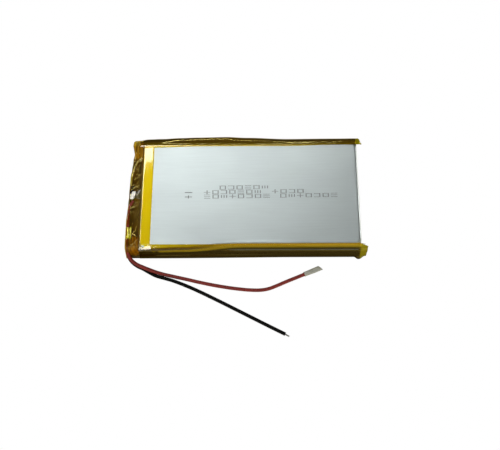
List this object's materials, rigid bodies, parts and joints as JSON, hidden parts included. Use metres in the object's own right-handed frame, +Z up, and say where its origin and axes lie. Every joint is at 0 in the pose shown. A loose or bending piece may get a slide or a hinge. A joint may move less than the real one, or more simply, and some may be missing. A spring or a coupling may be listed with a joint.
{
  "type": "lithium pouch cell",
  "caption": "Flat silver pouch cell with a taped protection board along its head end and thin bare-ended leads lying beside it.",
  "frame": {"origin": "under the middle of the cell, on the surface it lies on, with the tape ends counted and the free leads left out", "axes": "+X to the foot end, away from the leads; +Y to the back edge; +Z up through the printed face"},
  "size_m": [0.1148, 0.1017, 0.012],
  "materials": {
    "laminate": "satin",
    "separator": "matte",
    "anode": "matte",
    "cathode": "matte",
    "closing_tape": "gloss",
    "nickel": "satin",
    "aluminium_tab": "satin",
    "tab_film": "matte",
    "board": "satin",
    "chip": "matte",
    "capacitor": "satin",
    "insulator_paper": "matte",
    "foam": "matte",
    "solder": "gloss",
    "amber_tape": "gloss",
    "red_lead": "satin",
    "black_lead": "satin",
    "clear_sleeve": "gloss"
  },
  "bodies": {
    "root": {"pouch_cup": "laminate", "pouch_back_sheet": "laminate", "separator_inner": "separator", "separator_outer": "separator", "anode_strip": "anode", "cathode_strip": "cathode", "roll_closing_tape": "closing_tape", "negative_tab": "nickel", "positive_tab": "aluminium_tab", "positive_nickel_strip": "nickel", "negative_tab_film": "tab_film", "positive_tab_film": "tab_film", "protection_board": "board", "mosfet_1": "chip", "mosfet_2": "chip", "protection_chip": "chip", "resistor_1": "chip", "resistor_2": "chip", "capacitor_1": "capacitor", "capacitor_2": "capacitor", "negative_weld_pad": "nickel", "positive_weld_pad": "nickel", "terrace_insulator": "insulator_paper", "foam_pad": "foam", "red_solder_joint": "solder", "black_solder_joint": "solder", "head_tape": "amber_tape", "back_tape": "amber_tape", "front_tape": "amber_tape", "red_lead_held": "red_lead", "black_lead_held": "black_lead", "red_lead": "red_lead", "black_lead": "black_lead", "red_lead_strands": "solder", "black_lead_strands": "solder", "red_lead_sleeve": "clear_sleeve"}
  },
  "joints": []
}
